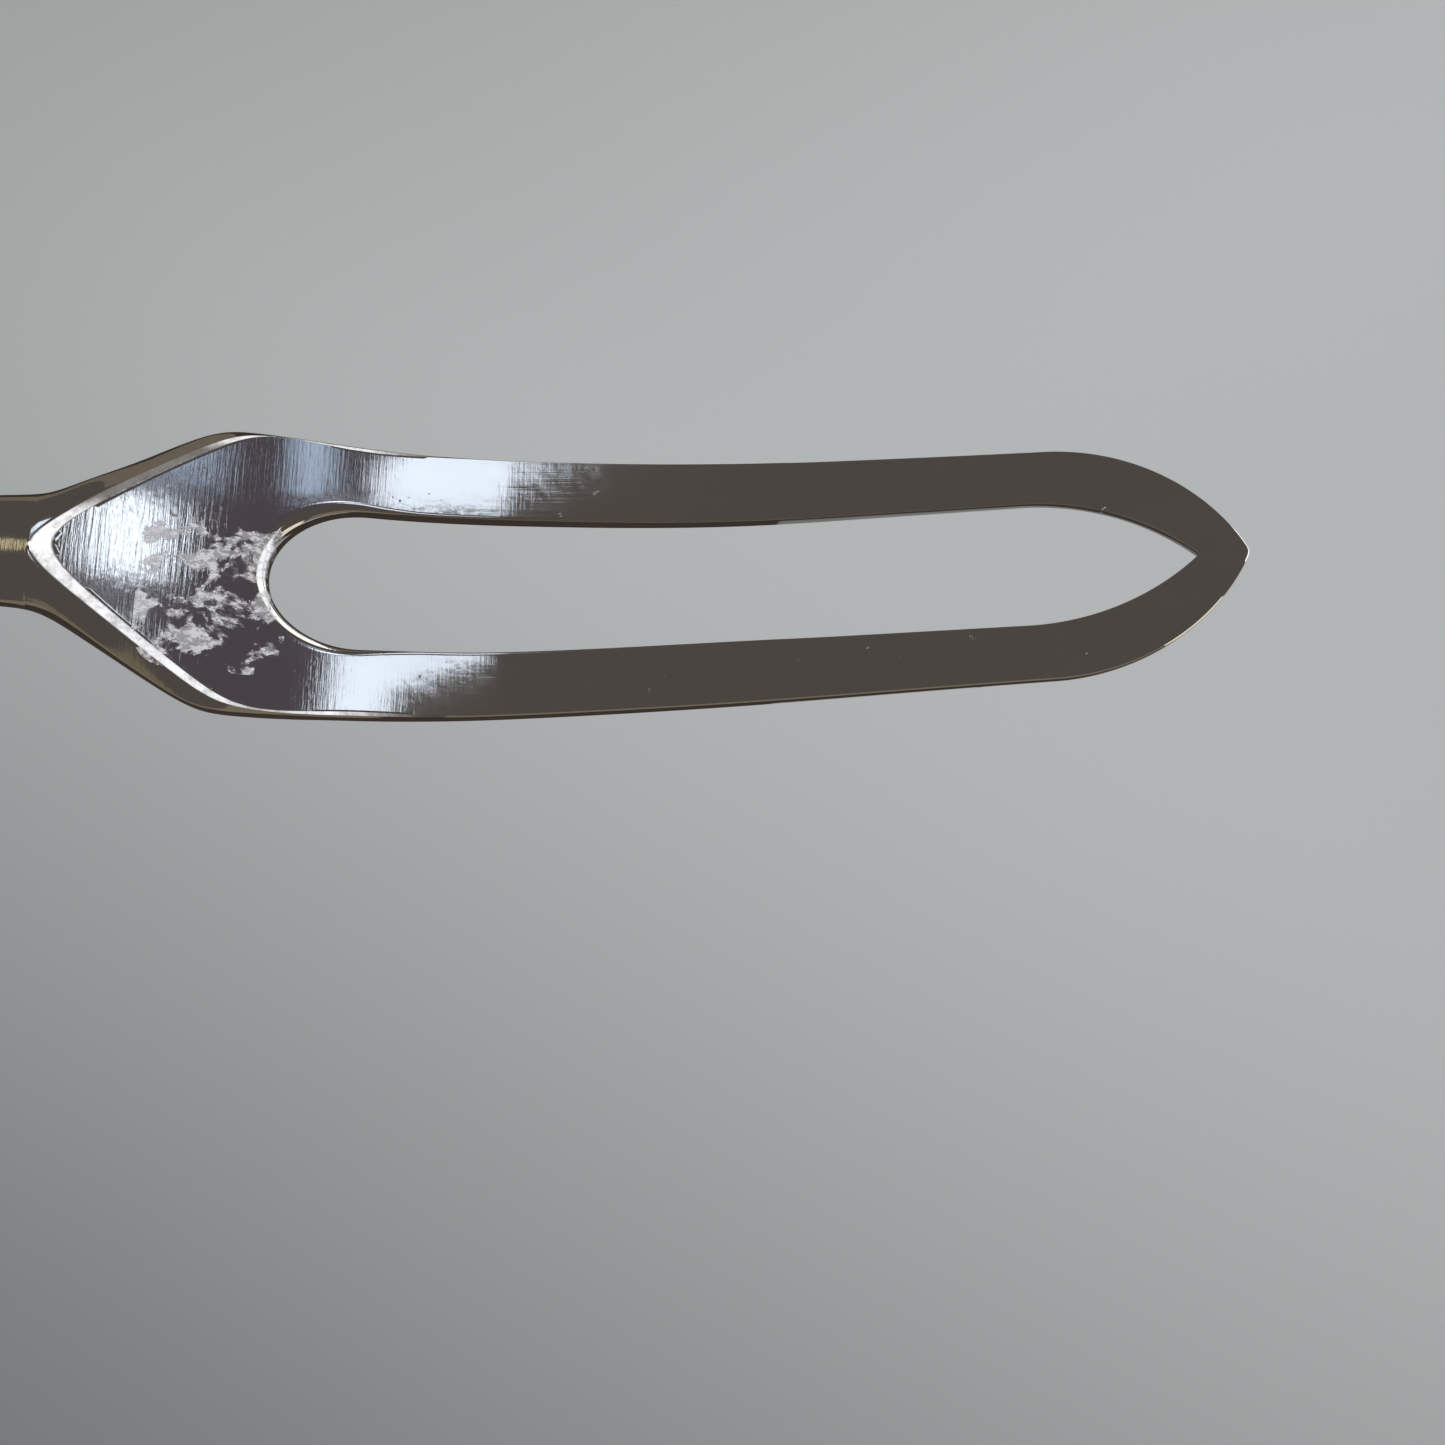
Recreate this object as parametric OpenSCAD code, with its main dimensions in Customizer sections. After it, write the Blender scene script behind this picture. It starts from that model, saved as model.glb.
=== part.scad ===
// Divot repair tool: a forged, pierced and polished blade on a slim neck, with a
// full tang between two riveted handle scales and a magnetic ball marker in the butt.
// Millimetres. +X runs to the blade's point, +Z is up, and Z = 0 is the handle's flat back.

/* [Whole tool] */
// Length from the butt to the blade's point
tool_len = 112; // [111:0.5:114]
// Thickness of the handle, scales, liners and tang together
handle_t = 9.6; // [9.6:0.1:10.4]

/* [Blade] */
// Width across the shoulders of the blade
shoulder_w = 14.8; // [14.4:0.1:15.2]
// Width across the two arms where the sides start to close to the point
point_w = 12.1; // [11.8:0.1:12.4]
// How far each side draws in between shoulder and point
waist = 0.14; // [0:0.02:0.3]
// Length of the pointed end
point_len = 9.5; // [9:0.1:10]
// Width of the slot at its round end
slot_root_w = 7.3; // [7:0.1:7.6]
// Width of the slot along the arms
slot_w = 6.4; // [6.1:0.1:6.7]
// Blade thickness beside the round end of the slot
blade_t = 0.8; // [0.75:0.05:0.9]
// Blade thickness at the point
point_t = 0.45; // [0.4:0.05:0.55]

/* [Neck] */
// Width of the neck at its slimmest
neck_w = 5.5; // [5.2:0.1:5.8]
// Thickness of the neck
neck_t = 2.9; // [2.7:0.1:3.1]
// Width of the handle where it meets the bolster
grip_w = 12.4; // [12:0.1:13]

/* [Handle] */
// Thickness of the tang between the liners
tang_t = 2.6; // [2.4:0.1:2.8]
// Thickness of each liner
liner_t = 0.4; // [0.3:0.1:0.5]
// Radius of the round butt
butt_r = 13.8; // [13.6:0.1:14]
// Radius of the concave sweep from the grip to the butt
sweep_r = 16; // [15:1:18]
// Radius of the rivet heads
rivet_head_r = 2.6; // [2.4:0.1:2.8]

/* [Ball marker] */
// Radius of the ball marker
marker_r = 12; // [11.9:0.1:12]
// Thickness of the ball marker
marker_t = 1.9; // [1.8:0.1:2]
// Radius of the magnet under it
magnet_r = 5; // [4.5:0.5:5.5]

/* [Hidden] */
$fn = 96;
gap = 0.05;                                // clearance between parts that fit together
over = 1;                                  // how far a cutter runs past what it cuts

// Stations along the tool
point_x = tool_len / 2;                    // the very point
arms_end_x = point_x - point_len;          // where the sides start to close to the point
shoulder_x = 11;                           // widest part of the blade
plate_x = 13;                              // where the forging has thinned to the flat blade
slot_x = 8.7;                              // round end of the slot
slot_root_len = 4.6;                       // length of that rounding
slot_point_x = point_x - 2.4;              // sharp end of the slot
slot_close_x = arms_end_x - 1;             // where the slot's sides start to close
bolster_x = -14.8;                         // flat back of the bolster, where the scales start
bolster_front_x = -12.6;                   // where the bolster starts to taper to the neck
neck_x = -5.6;                             // where that taper ends
butt_x = -point_x + butt_r;                // centre of the round butt

bolster_half = grip_w / 2 + 0.1;           // half width of the bolster, a little proud of the scales
bolster_round = 1.2;                       // reach of the rounding along its edges

// Heights
mid_z = handle_t / 2;                      // centre of the handle and of the neck behind the blade
tang_z = mid_z - tang_t / 2;
tang_top_z = mid_z + tang_t / 2;
scale_z = tang_z - liner_t;                // where the back scale ends
scale_top_z = tang_top_z + liner_t;        // where the front scale starts
pocket_z = handle_t - marker_t - 0.1;      // floor of the ball marker's pocket

function clamp(v, low, high) = max(low, min(high, v));
function ease(from_x, to_x, x) = let (t = clamp((x - from_x) / (to_x - from_x), 0, 1)) t * t * (3 - 2 * t);
function mix(a, b, t) = a + (b - a) * t;
// Smaller and larger of two values, rounded over where they are within about k of each other
function soft_min(a, b, k) = (a + b - sqrt((a - b) * (a - b) + k * k)) / 2;
function soft_max(a, b, k) = (a + b + sqrt((a - b) * (a - b) + k * k)) / 2;

// Side view: the ground face of the blade dips from the neck and rises to the point.
// Each pair is a station and the face's slope there, which changes evenly between stations.
face_slopes = [[bolster_front_x, 0], [-9.1, -0.164], [neck_x, 0], [-3.5, 0], [-1.5, -0.23], [8, -0.3],
    [20.5, 0.05], [37, 0.2], [point_x, 0.2]];
face_rise = 1.3;                           // of the face above the neck's centre
face_rise_end = 0.2;                       // of the face above the middle line of the flat blade
function face_part(i, x) = let (
        a = face_slopes[i], b = face_slopes[i + 1], run = clamp(x, a[0], b[0]) - a[0]
    ) a[1] * run + (b[1] - a[1]) * run * run / (2 * (b[0] - a[0]));
function face_z(x, i = 0) = i == len(face_slopes) - 1 ? mid_z + face_rise : face_part(i, x) + face_z(x, i + 1);

// Plan view: half widths of the sides, of the ground face and of the slot
function arm_half(x) = let (t = (x - shoulder_x) / (arms_end_x - shoulder_x))
    mix(shoulder_w, point_w, t) / 2 - 4 * waist * t * (1 - t);
// Arc that starts along X at x0, h from the axis, and meets the axis at x1
function closing(x0, x1, h, x) = let (run = x1 - x0, r = (run * run + h * h) / (2 * h), d = clamp(x - x0, 0, run))
    h - r + sqrt(r * r - d * d);
shoulder_slope = 0.66;                     // of the straight flare from neck to shoulders
shoulder_foot_x = -5.65;                   // where that flare would start on the axis
function flare_half(x) = soft_min(
    soft_max(neck_w / 2, shoulder_slope * (x - shoulder_foot_x), 0.8), arm_half(x), 0.9);
function half_width(x) =
    x < neck_x ? mix(bolster_half, flare_half(x), ease(bolster_front_x, neck_x, x)) :
    x < arms_end_x ? flare_half(x) : closing(arms_end_x, point_x, flare_half(arms_end_x), x);
face_slope = 0.72;                         // of the ground face's straight sides
face_x = -2.9;                             // apex of the ground face
face_edge = 0.06;                          // reach of the broken edge along the arms
function face_half(x) =
    x < neck_x ? mix(bolster_half - bolster_round, 0, ease(bolster_front_x, neck_x, x)) :
    x < plate_x ? max(0, soft_min(face_slope * (x - face_x), half_width(x), 1)) * (1 - ease(8, plate_x, x))
        + (half_width(x) - face_edge) * ease(8, plate_x, x) : half_width(x) - face_edge;
function slot_half(x) =
    x < slot_x + slot_root_len
        ? slot_root_w / 2 * sqrt(max(0, 1 - pow((slot_x + slot_root_len - x) / slot_root_len, 2))) :
    x < slot_close_x ? mix(slot_root_w, slot_w, ease(15, 34, x)) / 2 :
        closing(slot_close_x, slot_point_x, slot_w / 2, x);

// Body above and below its widest line, and how far in the rounding of its underside reaches
function above(x) = mix(mid_z, mix(face_rise, face_rise_end, ease(-2, 12, x)), ease(bolster_front_x, neck_x, x));
function widest_z(x) = face_z(x) - mix(face_rise, face_rise_end, ease(-2, 12, x));
function below(x) = let (blade = mix(blade_t, point_t, ease(14, point_x, x)) - face_rise_end)
    mix(mid_z, mix(neck_t - face_rise, blade, ease(2, plate_x, x)), ease(bolster_front_x, neck_x, x));
function rounding(x) = x < neck_x
    ? mix(bolster_round, half_width(x), ease(bolster_front_x, neck_x, x))
    : mix(half_width(x), min(0.4, 0.8 * half_width(x)), ease(0, 11, x));
// How far each quarter of a section is drawn out to its corner: 1 is round, more is squarer
function squareness(x) = x < neck_x ? mix(6, 1, ease(bolster_front_x, neck_x, x)) : 1;
// Crease between face and flank: 1 is a smooth quarter round, less is a sharper edge
function fullness(x) = x < neck_x ? 1 : mix(1, 0.6, ease(-3.5, 0, x));

// Point at share t of the curve from a to c that corner b draws out with weight w
function bend(a, b, c, w, t) = let (pa = (1 - t) * (1 - t), pb = 2 * t * (1 - t) * w, pc = t * t)
    (pa * a + pb * b + pc * c) / (pa + pb + pc);
side_steps = 4;                            // steps round each quarter of a section
crown_half = 0.05;                         // least half width of a section's top and bottom
function half_ring(x) = let (a = half_width(x), z = widest_z(x), w = squareness(x)) concat(
    [for (i = [0 : side_steps]) bend([x, max(crown_half, face_half(x)), z + above(x)],
        [x, a, z + fullness(x) * above(x)], [x, a, z], w, i / side_steps)],
    [for (i = [1 : side_steps]) bend([x, a, z], [x, a, z - below(x)],
        [x, max(crown_half, a - rounding(x)), z - below(x)], w, i / side_steps)]);
function section(x) = let (right = half_ring(x)) concat(right,
    [for (i = [len(right) - 1 : -1 : 0]) [right[i][0], -right[i][1], right[i][2]]]);

function steps(from_x, to_x, count) = [for (i = [0 : count - 1]) mix(from_x, to_x, i / count)];
tip_gap = 0.1;                            // the last section stops this far short of the point
section_xs = concat(steps(bolster_x, bolster_front_x, 1), steps(bolster_front_x, neck_x, 10),
    steps(neck_x, plate_x, 26), steps(plate_x, arms_end_x, 26), steps(arms_end_x, point_x - 1, 12),
    steps(point_x - 1, point_x - tip_gap, 6), [point_x - tip_gap]);

// Solid skinned over rings that all have the same number of points
module skin(rings) {
    n = len(rings[0]);
    polyhedron(
        points = [for (ring = rings) for (p = ring) p],
        faces = concat(
            [for (r = [0 : len(rings) - 2]) for (i = [0 : n - 1])
                [r * n + i, r * n + (i + 1) % n, (r + 1) * n + (i + 1) % n, (r + 1) * n + i]],
            [[for (i = [0 : n - 1]) n - 1 - i], [for (i = [0 : n - 1]) (len(rings) - 1) * n + i]]),
        convexity = 6);
}

// Half an outline in order of falling or rising x, mirrored to a closed one
module mirrored(side) polygon(concat(side, [for (i = [len(side) - 1 : -1 : 0]) [side[i][0], -side[i][1]]]));

module slot_outline() {
    xs = concat([for (q = [5 : 10 : 85]) slot_x + slot_root_len * (1 - cos(q))],
        steps(slot_x + slot_root_len, slot_close_x, 14), steps(slot_close_x, slot_point_x, 12));
    mirrored(concat([for (x = xs) [x, slot_half(x)]], [[slot_point_x, 0.03]]));
}

// Handle outline: grip, concave sweep, round butt
sweep_x = butt_x + sqrt(pow(butt_r + sweep_r, 2) - pow(grip_w / 2 + sweep_r, 2));
sweep_q = atan2(grip_w / 2 + sweep_r, sweep_x - butt_x);
module handle_outline(start_x) mirrored(concat([[start_x, grip_w / 2]],
    [for (q = [270 : -6 : 180 + sweep_q]) [sweep_x, grip_w / 2 + sweep_r] + sweep_r * [cos(q), sin(q)]],
    [for (q = [sweep_q : 4 : 178]) [butt_x, 0] + butt_r * [cos(q), sin(q)]]));
module handle_slab(z0, z1, start_x = bolster_x)
    translate([0, 0, z0]) linear_extrude(height = z1 - z0) handle_outline(start_x);

rivet_xs = [bolster_x - 4, bolster_x - 11.4];
rivet_r = 2;
rivet_head_t = 1.2;
pocket_screw_y = 8.2;
screw_r = 1;
screw_head_r = 1.8;
screw_head_t = 0.8;
screw_end_z = 1.3;
module at_rivets() for (x = rivet_xs) translate([x, 0, 0]) children();
module at_pocket_screws() for (s = [-1, 1]) translate([butt_x, s * pocket_screw_y, 0]) children();
module at_marker() translate([butt_x, 0, 0]) children();
module rod(r, z0, z1) translate([0, 0, z0]) cylinder(r = r, h = z1 - z0);
module cone(r0, r1, z0, z1) translate([0, 0, z0]) cylinder(r1 = r0, r2 = r1, h = z1 - z0);

// Holes that run through scales, liners and tang for the rivets and the pocket screws
module fastener_holes() {
    at_rivets() rod(rivet_r + gap, -over, handle_t + over);
    at_pocket_screws() rod(screw_r + gap, screw_end_z - gap, handle_t + over);
}
module magnet_hole() at_marker() rod(magnet_r + gap, tang_top_z, handle_t);

// Forging: bolster, neck, pierced blade and full tang in one piece
module forged_blade() color("silver") {
    difference() {
        skin([for (x = section_xs) section(x)]);
        linear_extrude(height = 3 * handle_t, center = true) slot_outline();
    }
    difference() {
        handle_slab(tang_z, tang_top_z, bolster_x + 1);
        fastener_holes();
    }
}

module front_liner() color("#7a1f1c") difference() {
    handle_slab(tang_top_z, scale_top_z);
    fastener_holes();
    magnet_hole();
}

module back_liner() color("#7a1f1c") difference() {
    handle_slab(scale_z, tang_z);
    fastener_holes();
}

notch_r = 6;                               // thumb notch that lets the marker be pushed up
module front_scale() color("#3b2417") difference() {
    handle_slab(scale_top_z, handle_t);
    fastener_holes();
    magnet_hole();
    at_marker() rod(marker_r + 0.15, pocket_z, handle_t + over);
    translate([butt_x - butt_r - 3.2, 0, 0]) rod(notch_r, pocket_z + 0.6, handle_t + over);
    at_rivets() rod(rivet_head_r + gap, handle_t - rivet_head_t - gap, handle_t + over);
    at_pocket_screws() {
        cone(screw_r + gap, screw_head_r + gap, pocket_z - screw_head_t - gap, pocket_z - gap);
        rod(screw_head_r + gap, pocket_z - gap, pocket_z + gap);
    }
}

module back_scale() color("#3b2417") difference() {
    handle_slab(0, scale_z);
    fastener_holes();
    at_rivets() rod(rivet_head_r + gap, -over, rivet_head_t + gap);
}

// Each rivet is a headed sleeve from the back and a headed screw from the front
module rivet_sleeves() color("silver") at_rivets() difference() {
    union() {
        rod(rivet_head_r, 0.1, rivet_head_t);
        rod(rivet_r, 0.1, handle_t - rivet_head_t - 2 * gap);
    }
    rod(1.25, 2, handle_t);
}
module rivet_screws() color("silver") at_rivets() {
    rod(rivet_head_r, handle_t - rivet_head_t, handle_t - 0.1);
    rod(1.2, 3, handle_t - rivet_head_t + gap);
}

module pocket_screws() color("dimgray") at_pocket_screws() difference() {
    union() {
        cone(screw_r, screw_head_r, pocket_z - screw_head_t - gap, pocket_z - gap);
        rod(screw_r, screw_end_z, pocket_z - screw_head_t);
    }
    translate([0, 0, pocket_z - 0.6]) cylinder(r = 0.7, h = 1, $fn = 6);
}

magnet_top_z = pocket_z - gap;
module magnet() color("gray") at_marker() rotate_extrude() polygon([
    [0, tang_top_z], [magnet_r, tang_top_z], [magnet_r, magnet_top_z - 0.2], [magnet_r - 0.2, magnet_top_z],
    [0, magnet_top_z]]);

marker_top_z = pocket_z + marker_t;
enamel_r = marker_r - 1.3;
enamel_t = 0.45;
enamel_z = marker_top_z - enamel_t - gap;
module marker_blank() color("silver") at_marker() rotate_extrude() polygon([
    [0, pocket_z], [marker_r - 0.2, pocket_z], [marker_r, pocket_z + 0.2], [marker_r, marker_top_z - 0.3],
    [marker_r - 0.3, marker_top_z], [enamel_r, marker_top_z], [enamel_r, enamel_z], [0, enamel_z]]);
module marker_enamel() color("darkgreen") at_marker() rod(enamel_r, enamel_z, marker_top_z - gap);

forged_blade();
front_liner();
back_liner();
front_scale();
back_scale();
rivet_sleeves();
rivet_screws();
pocket_screws();
magnet();
marker_blank();
marker_enamel();
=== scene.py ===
"""Looks of the divot repair tool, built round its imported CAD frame.

The forged blade is rebuilt as a fine, smooth mesh from the same formulas as the CAD part, because polished
steel shows every facet. Sizes are in millimetres, in the CAD part's frame, and meshes are scaled to metres.
"""

import math

import bmesh
import bpy
import numpy as np
from mathutils import Matrix, Vector


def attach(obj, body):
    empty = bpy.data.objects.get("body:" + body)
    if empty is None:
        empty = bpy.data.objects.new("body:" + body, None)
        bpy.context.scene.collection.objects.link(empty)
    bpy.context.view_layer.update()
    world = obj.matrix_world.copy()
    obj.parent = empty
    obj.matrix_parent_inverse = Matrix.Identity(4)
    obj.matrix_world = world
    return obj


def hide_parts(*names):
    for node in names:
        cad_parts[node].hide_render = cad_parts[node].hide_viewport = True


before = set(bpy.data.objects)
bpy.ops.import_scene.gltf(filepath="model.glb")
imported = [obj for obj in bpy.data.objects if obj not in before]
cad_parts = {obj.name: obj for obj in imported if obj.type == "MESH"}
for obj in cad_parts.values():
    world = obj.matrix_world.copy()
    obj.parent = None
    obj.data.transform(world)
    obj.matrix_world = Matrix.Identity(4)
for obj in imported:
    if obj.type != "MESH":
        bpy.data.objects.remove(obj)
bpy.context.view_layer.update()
MM = 0.001


# ---------------------------------------------------------------- shape formulas, as in the CAD part

# stations along the tool
POINT_X = 56.0
ARMS_END_X = POINT_X - 9.5
SHOULDER_X = 11.0
PLATE_X = 13.0
SLOT_X = 8.7
SLOT_ROOT_LEN = 4.6
SLOT_POINT_X = POINT_X - 2.4
SLOT_CLOSE_X = ARMS_END_X - 1
BOLSTER_X = -14.8
BOLSTER_FRONT_X = -12.6
NECK_X = -5.6
# heights, widths and thicknesses
HANDLE_T = 9.6
MID_Z = HANDLE_T / 2
GRIP_W = 12.4
BOLSTER_ROUND = 1.2
FACE_RISE = 1.3
FACE_RISE_END = 0.2
SHOULDER_W = 14.8
ARMS_END_W = 12.1
WAIST = 0.14
NECK_W = 5.5
NECK_T = 2.9
BLADE_T = 0.8
POINT_T = 0.45
SLOT_ROOT_W = 7.3
SLOT_W = 6.4
# straight flare from the neck to the shoulders: its slope, and where it would start on the axis
FLARE_SLOPE = 0.66
FLARE_FOOT_X = -5.65
# stations and the face's slope there, which changes evenly between them
FACE_SLOPES = [(BOLSTER_FRONT_X, 0.0), (-9.1, -0.164), (NECK_X, 0.0), (-3.5, 0.0), (-1.5, -0.23), (8.0, -0.3),
               (20.5, 0.05), (37.0, 0.2), (POINT_X, 0.2)]


def mix(a, b, t):
    return a + (b - a) * t


def ease(start, end, x):
    t = np.clip((x - start) / (end - start), 0, 1)
    return t * t * (3 - 2 * t)


def soft_min(a, b, k):
    """Smaller of two values, rounded over where they are within about k of each other."""
    return (a + b - np.sqrt((a - b) ** 2 + k * k)) / 2


def soft_max(a, b, k):
    return (a + b + np.sqrt((a - b) ** 2 + k * k)) / 2


def closing(x0, x1, h, x):
    """Arc that starts along X at x0, h from the axis, and meets the axis at x1."""
    run = x1 - x0
    r = (run * run + h * h) / (2 * h)
    d = np.clip(x - x0, 0, run)
    return h - r + np.sqrt(r * r - d * d)


def face_z(x):
    z = MID_Z + FACE_RISE
    for (x0, s0), (x1, s1) in zip(FACE_SLOPES, FACE_SLOPES[1:]):
        run = np.clip(x, x0, x1) - x0
        z = z + s0 * run + (s1 - s0) * run * run / (2 * (x1 - x0))
    return z


def arm_half(x):
    t = (x - SHOULDER_X) / (ARMS_END_X - SHOULDER_X)
    return mix(SHOULDER_W, ARMS_END_W, t) / 2 - 4 * WAIST * t * (1 - t)


def flare_half(x):
    return soft_min(soft_max(NECK_W / 2, FLARE_SLOPE * (x - FLARE_FOOT_X), 0.8), arm_half(x), 0.9)


TIP_ROUND = 0.08                           # how far the rounding draws the very point back
TIP_X = POINT_X - TIP_ROUND


def tip_arc(inset):
    """Start height, radius and length of the arc of the pointed end, a given inset inside its edge."""
    run, h = POINT_X - ARMS_END_X, float(flare_half(np.array(ARMS_END_X)))
    r = (run * run + h * h) / (2 * h)
    return h, r, math.sqrt((r - inset) ** 2 - (r - h) ** 2)


def tip_half(x, inset=0.0):
    """Half width over the pointed end, a given inset inside its edge."""
    h, r, end = tip_arc(inset)
    d = np.clip(x - ARMS_END_X, 0, end)
    nose = np.sqrt(np.clip(1 - (TIP_ROUND / np.maximum(ARMS_END_X + end - x, 1e-6)) ** 2, 0, 1))
    return (h - r + np.sqrt((r - inset) ** 2 - d * d)) * nose


def tip_end(inset=0.0):
    """Where the pointed end, a given inset inside its edge, meets the long axis."""
    return ARMS_END_X + tip_arc(inset)[2] - TIP_ROUND


def half_width(x):
    neck = mix(GRIP_W / 2 + 0.1, flare_half(x), ease(BOLSTER_FRONT_X, NECK_X, x))
    return np.where(x < NECK_X, neck, np.where(x < ARMS_END_X, flare_half(x), tip_half(x)))


def slot_half(x):
    root = SLOT_ROOT_W / 2 * np.sqrt(np.clip(1 - ((SLOT_X + SLOT_ROOT_LEN - x) / SLOT_ROOT_LEN) ** 2, 0, 1))
    arms = mix(SLOT_ROOT_W, SLOT_W, ease(15, 34, x)) / 2
    end = closing(SLOT_CLOSE_X, SLOT_POINT_X, SLOT_W / 2, x)
    return np.where(x < SLOT_X + SLOT_ROOT_LEN, root, np.where(x < SLOT_CLOSE_X, arms, end))


def in_bolster(x):
    """1 in the bolster, falling to 0 where the neck starts."""
    return 1 - ease(BOLSTER_FRONT_X, NECK_X, x)


def widest_z(x):
    return face_z(x) - mix(FACE_RISE, FACE_RISE_END, ease(-2, 12, x))


def below(x):
    """Depth of the section under its widest line."""
    blade = mix(BLADE_T, POINT_T, ease(14, POINT_X, x)) - FACE_RISE_END
    return mix(mix(NECK_T - FACE_RISE, blade, ease(2, PLATE_X, x)), MID_Z, in_bolster(x))


def rounding(x):
    """How far in the rounding of the underside reaches."""
    a = half_width(x)
    neck = mix(a, BOLSTER_ROUND, in_bolster(x))
    return np.where(x < NECK_X, neck, mix(a, np.minimum(0.4, 0.8 * a), ease(0, 11, x)))


# The ground face ends in a chamfer, which is broad round the apex and a fine edge along the arms. In plan
# each border is a V with a round nose, and then a line a small inset inside the blade's edge.
VEE_SLOPE = 0.72
FACE_LINE_X = -3.03                        # where the straight sides of the face's V would meet
FACE_NOSE_X = -0.85
FACE_INSET = 0.07
CHAMFER_LINE_X = -3.72
CHAMFER_NOSE_X = -2.05
CHAMFER_INSET = 0.02
SHOULDER_INSETS = 4.0                      # how many times wider the insets are at the shoulder


def face_side(x, line_x, nose_x, inset):
    """Half width of a curve that starts round at nose_x, runs along the face's V and then inside the edge."""
    reach = nose_x - line_x
    vee = VEE_SLOPE * np.sqrt(np.clip((x - line_x) ** 2 - reach * reach, 0, None))
    a = half_width(x)
    t = ease(8, PLATE_X, x)
    inside = a - inset * mix(SHOULDER_INSETS, 1.0, ease(PLATE_X, 19, x))
    side = mix(soft_min(vee, a, 1.0), inside, t)
    return np.where(x < ARMS_END_X, np.maximum(0, side), tip_half(x, inset))


def face_half(x):
    return face_side(x, FACE_LINE_X, FACE_NOSE_X, FACE_INSET)


def chamfer_half(x):
    return face_side(x, CHAMFER_LINE_X, CHAMFER_NOSE_X, CHAMFER_INSET)


def chamfer_drop(x):
    return mix(mix(0.45, 0.14, ease(-2, 1.5, x)), 0.06, ease(6, PLATE_X, x))


def fullness(x):
    """Crease between chamfer and flank: 1 is a smooth quarter round, less is a sharper edge."""
    return mix(1.0, 0.25, ease(-2.0, 3.0, x))


def squareness(x):
    """How far each quarter of a section is drawn out to its corner: 1 is round, more is squarer."""
    return mix(mix(1.0, 2.5, ease(-2.0, 1.0, x)), 8.0, in_bolster(x))


# ---------------------------------------------------------------- mesh helpers

def bend(a, b, c, weight, t):
    """Points at shares t of the curves from a to c that corners b draw out with a weight. a, b, c: (n, 3)."""
    t = t[None, :, None]
    weight = weight[:, None, None]
    pa, pb, pc = (1 - t) ** 2, 2 * t * (1 - t) * weight, t * t
    return (pa * a[:, None] + pb * b[:, None] + pc * c[:, None]) / (pa + pb + pc)


# shares of the curve of each quarter of a section, closer together near its crease
QUARTER = np.array([0, 0.03, 0.1, 0.2, 0.32, 0.45, 0.6, 0.75, 0.88, 1])


def points(x, y, z):
    return np.stack(np.broadcast_arrays(x, y, z), -1).astype(float)


class Skin:
    """Collects grids of points, each mirrored across the tool's long axis, and makes one closed mesh."""

    def __init__(self):
        self.points, self.faces, self.marks, self.count = [], [], [], 0

    def grid(self, g, mark=0.0):
        rows, cols = g.shape[:2]
        index = np.arange(rows * cols).reshape(rows, cols)
        quads = np.stack([index[:-1, :-1], index[1:, :-1], index[1:, 1:], index[:-1, 1:]], -1).reshape(-1, 4)
        marks = np.broadcast_to(np.asarray(mark, float), (rows, cols)).reshape(-1)
        self.add(g.reshape(-1, 3), quads, marks)
        self.add(g.reshape(-1, 3) * (1, -1, 1), quads[:, ::-1], marks)

    def add(self, pts, faces, marks):
        self.points.append(pts)
        self.faces.extend((faces + self.count).tolist())
        self.marks.append(marks)
        self.count += len(pts)

    def mesh(self, name, merge=1e-5):
        """One mesh of all grids, with how much of a point's face is chamfer as an attribute."""
        mesh = bpy.data.meshes.new(name)
        mesh.from_pydata((np.concatenate(self.points) * MM).tolist(), [], self.faces)
        attribute = mesh.attributes.new("chamfer", "FLOAT", "POINT")
        attribute.data.foreach_set("value", np.concatenate(self.marks).astype(np.float32))
        bm = bmesh.new()
        bm.from_mesh(mesh)
        bmesh.ops.remove_doubles(bm, verts=bm.verts, dist=merge * MM)
        bmesh.ops.dissolve_degenerate(bm, edges=bm.edges, dist=merge * MM)
        bmesh.ops.recalc_face_normals(bm, faces=bm.faces)
        for face in bm.faces:
            face.smooth = True
        bm.to_mesh(mesh)
        bm.free()
        return mesh


def along(curve, x0, x1, count):
    """Points of the plan curve y = curve(x) from x0 to x1, evenly spaced along its length."""
    q = np.linspace(0, math.pi, 4001)
    x = mix(x0, x1, (1 - np.cos(q)) / 2)
    y = curve(x)
    length = np.concatenate([[0], np.cumsum(np.hypot(np.diff(x), np.diff(y)))])
    s = np.linspace(0, length[-1], count)
    return np.stack([np.interp(s, length, x), np.interp(s, length, y)], -1)


def three_parts(curve, start, end, counts):
    """A plan curve in three parts: round the slot's root, along the arms and to the point."""
    root_end = SLOT_X + SLOT_ROOT_LEN
    arms = np.linspace(root_end, SLOT_CLOSE_X, counts[1])
    return np.concatenate([
        along(curve, start, root_end, counts[0])[:-1],
        np.stack([arms, curve(arms)], -1)[:-1],
        along(curve, SLOT_CLOSE_X, end, counts[2])])


# Reach of the rounding of the slot's edges: along the arms, and at the root on the face and on the back
ARM_EDGE, ROOT_EDGE, ROOT_EDGE_BACK = 0.07, 0.62, 0.2
COUNTS = (120, 150, 90)                    # rows of the blade round the root, along the arms and to the point
BLADE_CREASE = 25                          # degrees


def outward(curve):
    """Directions in plan from the slot's side into the steel: length 1, but longer at the sharp end."""
    tangent = np.gradient(curve, axis=0)
    out = np.stack([-tangent[:, 1], tangent[:, 0]], -1)
    out /= np.linalg.norm(out, axis=1, keepdims=True)
    out[0] = (-1, 0)
    out[-1] = (1 / max(0.3, out[-2, 0]), 0)
    return out


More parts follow.
